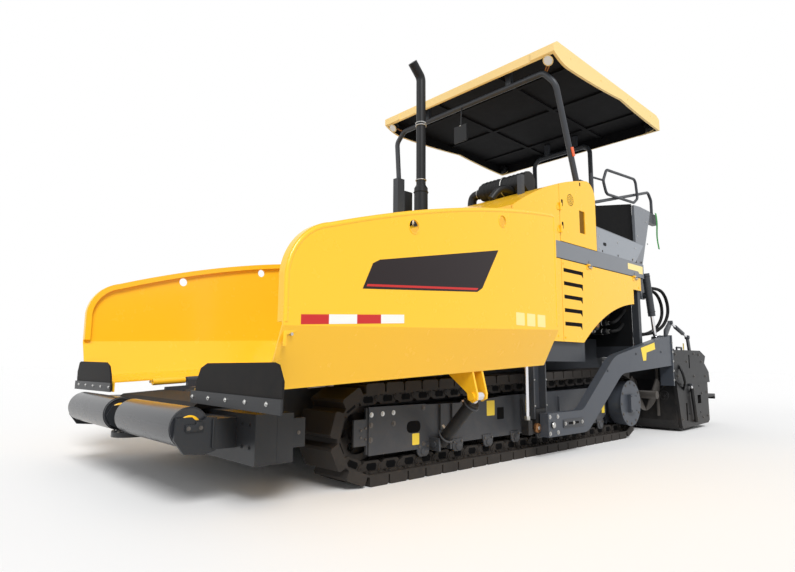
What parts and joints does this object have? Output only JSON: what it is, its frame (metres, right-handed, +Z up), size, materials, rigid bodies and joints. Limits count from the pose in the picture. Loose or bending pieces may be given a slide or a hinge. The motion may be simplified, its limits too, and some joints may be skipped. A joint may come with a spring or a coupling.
{
  "type": "tracked asphalt paver",
  "caption": "Tracked asphalt paver with folding receiving hopper, push rollers, canopied operator deck, spreading augers and floating screed on tow arms.",
  "frame": {"origin": "on the ground under the middle of the machine's overall box", "axes": "+X forward, towards the hopper and the push rollers; +Y to the machine's left; +Z up"},
  "size_m": [6.84, 3.136, 3.676],
  "materials": {
    "yellow_paint": "satin",
    "grey_paint": "satin",
    "black_paint": "satin",
    "track_steel": "matte",
    "bare_steel": "brushed",
    "chrome": "polished",
    "black_rubber": "matte",
    "black_plastic": "matte"
  },
  "bodies": {
    "tractor": {"track_left": "track_steel", "track_right": "track_steel", "track_frames": "grey_paint", "track_idlers": "track_steel", "track_rollers": "track_steel", "final_drives": "grey_paint", "main_frame": "grey_paint", "conveyor": "bare_steel", "front_beam": "grey_paint", "hopper_apron": "black_rubber", "push_beam": "grey_paint", "engine_hood": "yellow_paint", "deck": "grey_paint", "engine_block": "black_paint", "hopper_back": "yellow_paint", "exhaust": "bare_steel", "air_cleaner": "black_paint", "hood_post": "grey_paint", "operator_console": "black_paint", "seats": "black_plastic", "guard_rails": "grey_paint", "canopy_roof": "yellow_paint", "canopy_front_hoop": "grey_paint", "canopy_rear_hoop": "grey_paint", "canopy_lamps": "black_plastic", "mirror": "black_plastic", "auger_gearbox": "grey_paint", "levelling_guides": "grey_paint", "canopy_lining": "black_plastic", "side_screens": "black_plastic", "pump_bay": "black_paint", "rear_hose_outer": "black_rubber", "rear_hose_inner": "black_rubber"},
    "wing_left": {"wing_left": "yellow_paint", "wing_flap_left": "black_rubber", "flap_strip_left": "grey_paint"},
    "wing_right": {"wing_right": "yellow_paint", "wing_flap_right": "black_rubber", "flap_strip_right": "grey_paint"},
    "screed": {"tow_arms": "grey_paint", "screed_box": "black_paint", "screed_cheeks": "grey_paint", "screed_walkway": "grey_paint"},
    "hopper_barrel_left": {"hopper_barrel_left": "black_paint"},
    "hopper_barrel_right": {"hopper_barrel_right": "black_paint"},
    "hopper_rod_left": {"hopper_rod_left": "chrome"},
    "hopper_rod_right": {"hopper_rod_right": "chrome"},
    "push_roller_left": {"push_roller_left": "bare_steel"},
    "push_roller_right": {"push_roller_right": "bare_steel"},
    "auger_left": {"auger_left": "track_steel"},
    "auger_right": {"auger_right": "track_steel"},
    "upper_door_left": {"upper_door_left": "yellow_paint"},
    "upper_door_right": {"upper_door_right": "yellow_paint"},
    "lower_door_left": {"lower_door_left": "yellow_paint"},
    "lower_door_right": {"lower_door_right": "yellow_paint"},
    "tow_points": {"tow_points": "black_paint"},
    "lift_barrels": {"lift_barrels": "black_paint"},
    "lift_rods": {"lift_rods": "chrome"}
  },
  "joints": [
    {"name": "hopper_left_fold", "type": "hinge", "parent": "tractor", "child": "wing_left", "pos_m": [2.065, 0.64, 0.62], "axis": [0.9986, 0, -0.0528], "range_deg": [0, 35]},
    {"name": "hopper_barrel_left_pivot", "type": "hinge", "parent": "tractor", "child": "hopper_barrel_left", "pos_m": [1.66161, 1.058, 0.19762], "axis": [0.9986, 0, -0.0528], "range_deg": [0, 26.8]},
    {"name": "hopper_rod_left_slide", "type": "slide", "parent": "hopper_barrel_left", "child": "hopper_rod_left", "axis": [0.0372, 0.7093, 0.704], "range_m": [0, 0.357]},
    {"name": "push_roller_left_spin", "type": "hinge", "parent": "tractor", "child": "push_roller_left", "pos_m": [3.32, 0.505, 0.404], "axis": [0, 1, 0], "continuous": true},
    {"name": "auger_left_spin", "type": "hinge", "parent": "tractor", "child": "auger_left", "pos_m": [-1.745, 0.6, 0.4], "axis": [0, 1, 0], "continuous": true},
    {"name": "upper_door_left_swing", "type": "hinge", "parent": "tractor", "child": "upper_door_left", "pos_m": [0.158, 1.1305, 2], "axis": [0, 0, -1], "range_deg": [0, 100]},
    {"name": "lower_door_left_lift", "type": "hinge", "parent": "tractor", "child": "lower_door_left", "pos_m": [-0.6, 1.1305, 1.637], "axis": [1, 0, 0], "range_deg": [0, 70]},
    {"name": "hopper_right_fold", "type": "hinge", "parent": "tractor", "child": "wing_right", "pos_m": [2.065, -0.64, 0.62], "axis": [-0.9986, 0, 0.0528], "range_deg": [0, 35]},
    {"name": "hopper_barrel_right_pivot", "type": "hinge", "parent": "tractor", "child": "hopper_barrel_right", "pos_m": [1.66161, -1.058, 0.19762], "axis": [-0.9986, 0, 0.0528], "range_deg": [0, 26.8]},
    {"name": "hopper_rod_right_slide", "type": "slide", "parent": "hopper_barrel_right", "child": "hopper_rod_right", "axis": [0.0372, -0.7093, 0.704], "range_m": [0, 0.357]},
    {"name": "push_roller_right_spin", "type": "hinge", "parent": "tractor", "child": "push_roller_right", "pos_m": [3.32, -0.505, 0.404], "axis": [0, 1, 0], "continuous": true},
    {"name": "auger_right_spin", "type": "hinge", "parent": "tractor", "child": "auger_right", "pos_m": [-1.745, -0.6, 0.4], "axis": [0, 1, 0], "continuous": true},
    {"name": "upper_door_right_swing", "type": "hinge", "parent": "tractor", "child": "upper_door_right", "pos_m": [0.158, -1.1305, 2], "axis": [0, 0, 1], "range_deg": [0, 100]},
    {"name": "lower_door_right_lift", "type": "hinge", "parent": "tractor", "child": "lower_door_right", "pos_m": [-0.6, -1.1305, 1.637], "axis": [-1, 0, 0], "range_deg": [0, 70]},
    {"name": "tow_point_lift", "type": "slide", "parent": "tractor", "child": "tow_points", "axis": [0, 0, 1], "range_m": [0, 0.06]},
    {"name": "screed_lift", "type": "hinge", "parent": "tow_points", "child": "screed", "pos_m": [0.59, 0, 0.255], "axis": [0, 1, 0], "range_deg": [0, 5]},
    {"name": "lift_barrel_pivot", "type": "hinge", "parent": "tractor", "child": "lift_barrels", "pos_m": [-1.64, 0, 1.47], "axis": [0, 1, 0], "range_deg": [-6.1, 0]},
    {"name": "lift_rod_slide", "type": "slide", "parent": "lift_barrels", "child": "lift_rods", "axis": [-0.218, 0, -0.9759], "range_m": [-0.212, 0]}
  ],
  "couplings": [
    {"joint": "hopper_barrel_left_pivot", "follows": "hopper_left_fold", "ratio": 0.76001},
    {"joint": "hopper_rod_left_slide", "follows": "hopper_left_fold", "m_per_rad": 0.5814},
    {"joint": "hopper_barrel_right_pivot", "follows": "hopper_right_fold", "ratio": 0.76001},
    {"joint": "hopper_rod_right_slide", "follows": "hopper_right_fold", "m_per_rad": 0.5814},
    {"joint": "lift_barrel_pivot", "follows": "screed_lift", "ratio": -1.1978},
    {"joint": "lift_rod_slide", "follows": "screed_lift", "m_per_rad": -2.4117}
  ]
}
